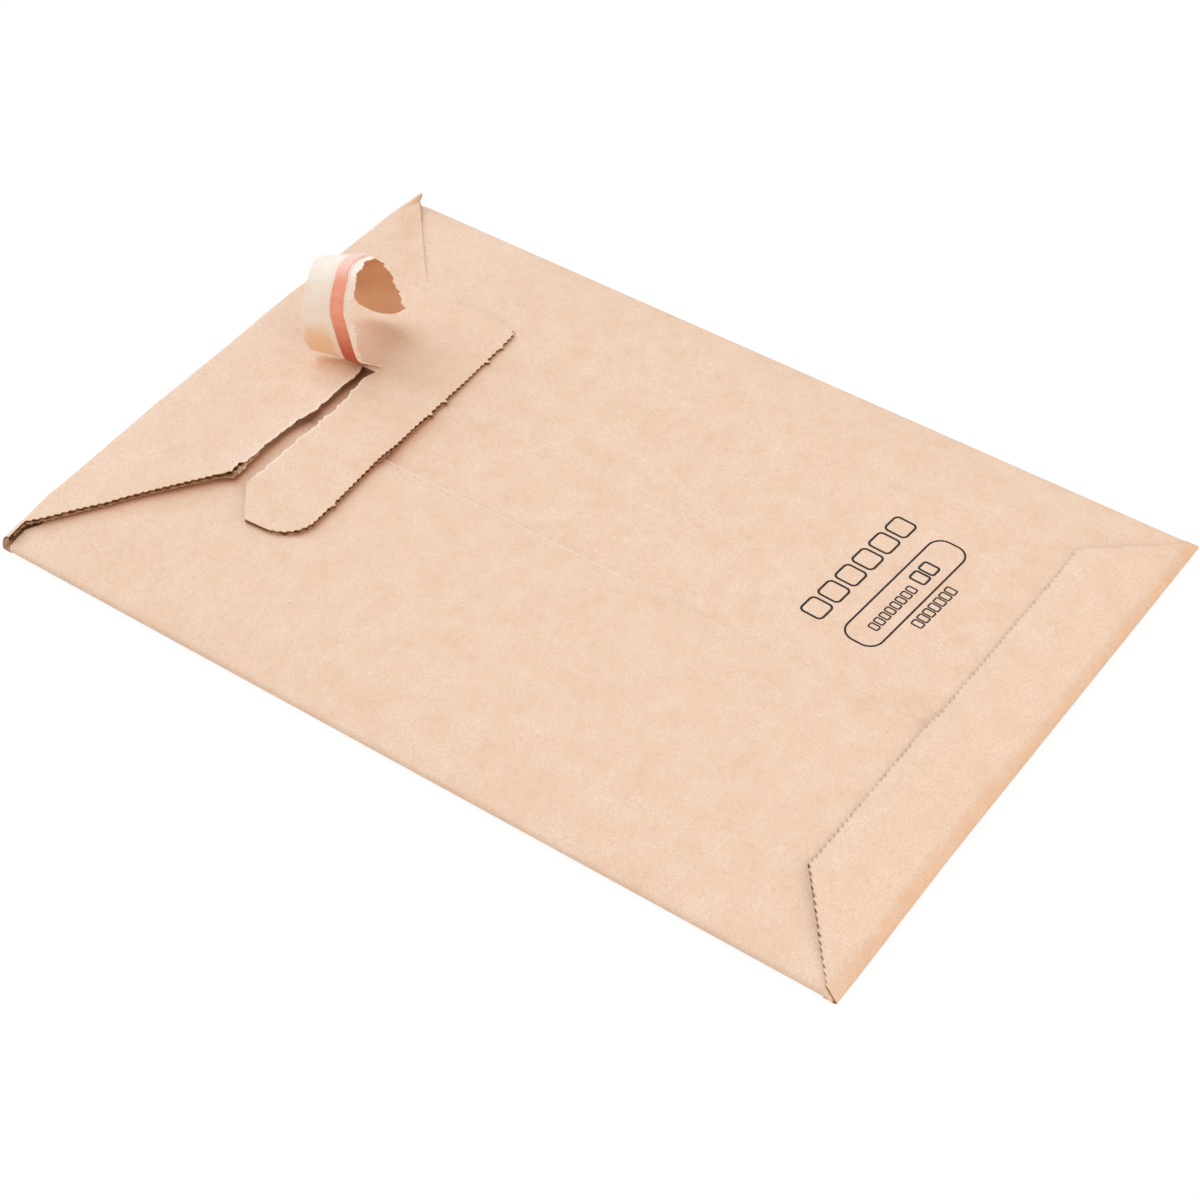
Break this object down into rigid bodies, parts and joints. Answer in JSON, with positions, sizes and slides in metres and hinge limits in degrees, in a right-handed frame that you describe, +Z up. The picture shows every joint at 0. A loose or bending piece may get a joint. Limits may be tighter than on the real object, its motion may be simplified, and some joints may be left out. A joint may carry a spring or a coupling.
{
  "type": "cardboard mailer",
  "caption": "Flat corrugated cardboard mailer with a lapped back seam, glued bottom flap, fold-over closure flap and a part-torn tear strip.",
  "frame": {"origin": "centre of the mailer on the surface that its front panel lies on", "axes": "+X across the mailer to the far long fold, +Y along it to the mouth fold, +Z up out of the back"},
  "size_m": [0.1866, 0.266, 0.0394],
  "materials": {
    "kraft_outer": "matt uncoated kraft liner",
    "kraft_inner": "matt uncoated kraft liner, inside face",
    "fluting_medium": "rough fluted medium",
    "torn_paper": "torn fibres, matt",
    "glue": "dried adhesive film",
    "tear_tape": "satin film tape"
  },
  "bodies": {
    "pocket": {"front_inner_liner": "kraft_inner", "front_fluting": "fluting_medium", "front_outer_liner": "kraft_outer", "near_side_fold": "kraft_outer", "far_side_fold": "kraft_outer", "near_back_inner_liner": "kraft_inner", "near_back_fluting": "fluting_medium", "near_back_outer_liner": "kraft_outer", "far_back_inner_liner": "kraft_inner", "far_back_fluting": "fluting_medium", "far_back_outer_liner": "kraft_outer", "seam_glue": "glue", "bottom_fold": "kraft_outer", "bottom_flap_inner_liner": "kraft_inner", "bottom_flap_fluting": "fluting_medium", "bottom_flap_outer_liner": "kraft_outer", "bottom_flap_glue": "glue", "seal_tab_inner_liner": "kraft_inner", "seal_tab_fluting": "fluting_medium", "seal_tab_outer_liner": "kraft_outer", "seal_adhesive": "glue"},
    "closure_flap": {"closure_flap_inner_liner": "kraft_inner", "closure_flap_fluting": "fluting_medium", "closure_flap_outer_liner": "kraft_outer", "mouth_crease": "kraft_outer"},
    "tear_strip": {"tear_strip_inner_liner": "kraft_inner", "tear_strip_fluting": "fluting_medium", "tear_strip_outer_liner": "kraft_outer", "tear_tape": "tear_tape"},
    "torn_end": {"torn_strip_liner": "torn_paper", "torn_strip_core": "torn_paper", "torn_tear_tape": "tear_tape"}
  },
  "joints": [
    {"name": "closure_flap_fold", "type": "hinge", "parent": "pocket", "child": "closure_flap", "pos_m": [0, 0.133, 0.0054], "axis": [-1, 0, 0], "range_deg": [0, 180], "deforming": ["mouth_crease"]},
    {"name": "tear_strip_pull", "type": "slide", "parent": "closure_flap", "child": "tear_strip", "axis": [0, 0, 1], "range_m": [0, 0.03]},
    {"name": "torn_end_bend", "type": "hinge", "parent": "tear_strip", "child": "torn_end", "pos_m": [0.016, 0.0883, 0.01009], "axis": [0.1545, -0.988, 0], "range_deg": [0, 20]}
  ]
}
